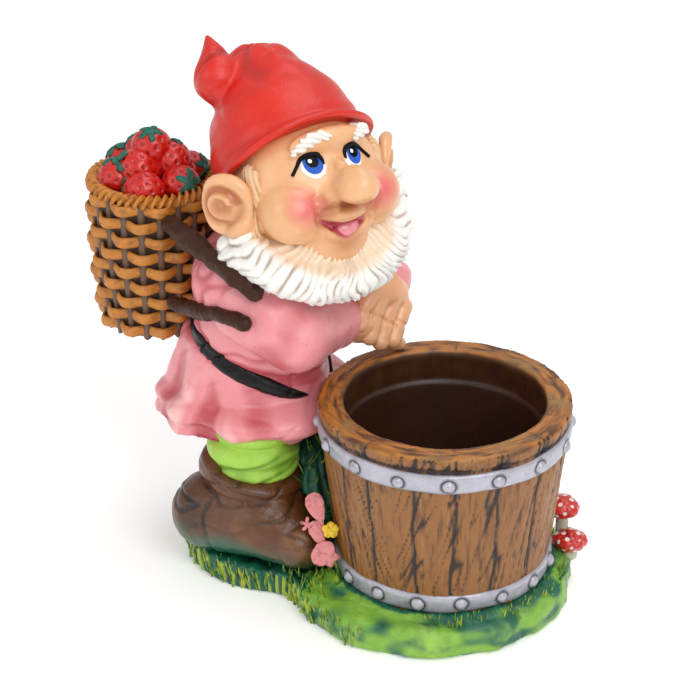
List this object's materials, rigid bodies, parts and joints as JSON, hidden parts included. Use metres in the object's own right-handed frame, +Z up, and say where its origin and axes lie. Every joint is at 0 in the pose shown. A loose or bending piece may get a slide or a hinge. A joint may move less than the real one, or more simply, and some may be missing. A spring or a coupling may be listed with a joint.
{
  "type": "garden gnome planter",
  "caption": "Cast resin garden gnome leaning on a half-barrel planter, with a basket of strawberries on its back.",
  "frame": {"origin": "on the underside, below the middle of the plinth", "axes": "+Z up; the gnome faces -Y, towards the barrel, and its left hand is on +X"},
  "size_m": [0.148, 0.2747, 0.2801],
  "materials": {
    "barrel_stave": "hand-painted resin",
    "belt": "hand-painted resin",
    "berry_leaf": "hand-painted resin",
    "boot": "hand-painted resin",
    "eye": "hand-painted resin",
    "hat_red": "hand-painted resin",
    "hoop_grey": "hand-painted resin",
    "mouth": "hand-painted resin",
    "petal_pink": "hand-painted resin",
    "petal_yellow": "hand-painted resin",
    "skin": "hand-painted resin",
    "strap": "hand-painted resin",
    "strawberry": "hand-painted resin",
    "toadstool_red": "hand-painted resin",
    "toadstool_stem": "hand-painted resin",
    "trousers": "hand-painted resin",
    "tunic": "hand-painted resin",
    "turf": "hand-painted resin",
    "white_hair": "hand-painted resin",
    "wicker": "hand-painted resin",
    "wicker_dark": "hand-painted resin"
  },
  "bodies": {
    "root": {"barrel_tub": "barrel_stave", "basket_border": "wicker", "basket_wall": "wicker_dark", "basket_weavers": "wicker", "beard": "white_hair", "belt": "belt", "grass_mound": "turf", "grass_tufts": "turf", "hair": "white_hair", "hat_brim": "hat_red", "hat_cap": "hat_red", "hat_tip": "hat_red", "head": "skin", "left_boot": "boot", "left_ear": "skin", "left_eye": "eye", "left_eyebrow": "white_hair", "left_hand": "skin", "left_lower_strap": "strap", "left_sleeve": "tunic", "left_trouser_leg": "trousers", "left_upper_strap": "strap", "lower_hoop": "hoop_grey", "lower_rivets": "hoop_grey", "mouth": "mouth", "nose": "skin", "pink_flower_1": "petal_pink", "pink_flower_2": "petal_pink", "pink_flower_3": "petal_pink", "right_boot": "boot", "right_ear": "skin", "right_eye": "eye", "right_eyebrow": "white_hair", "right_hand": "skin", "right_lower_strap": "strap", "right_sleeve": "tunic", "right_trouser_leg": "trousers", "right_upper_strap": "strap", "strawberry_1": "strawberry", "strawberry_10": "strawberry", "strawberry_2": "strawberry", "strawberry_3": "strawberry", "strawberry_4": "strawberry", "strawberry_5": "strawberry", "strawberry_6": "strawberry", "strawberry_7": "strawberry", "strawberry_8": "strawberry", "strawberry_9": "strawberry", "strawberry_leaves": "berry_leaf", "toadstool_cap_1": "toadstool_red", "toadstool_cap_2": "toadstool_red", "toadstool_stem_1": "toadstool_stem", "toadstool_stem_2": "toadstool_stem", "tunic": "tunic", "turf_base": "turf", "upper_hoop": "hoop_grey", "upper_rivets": "hoop_grey", "yellow_flower": "petal_yellow"}
  },
  "joints": []
}
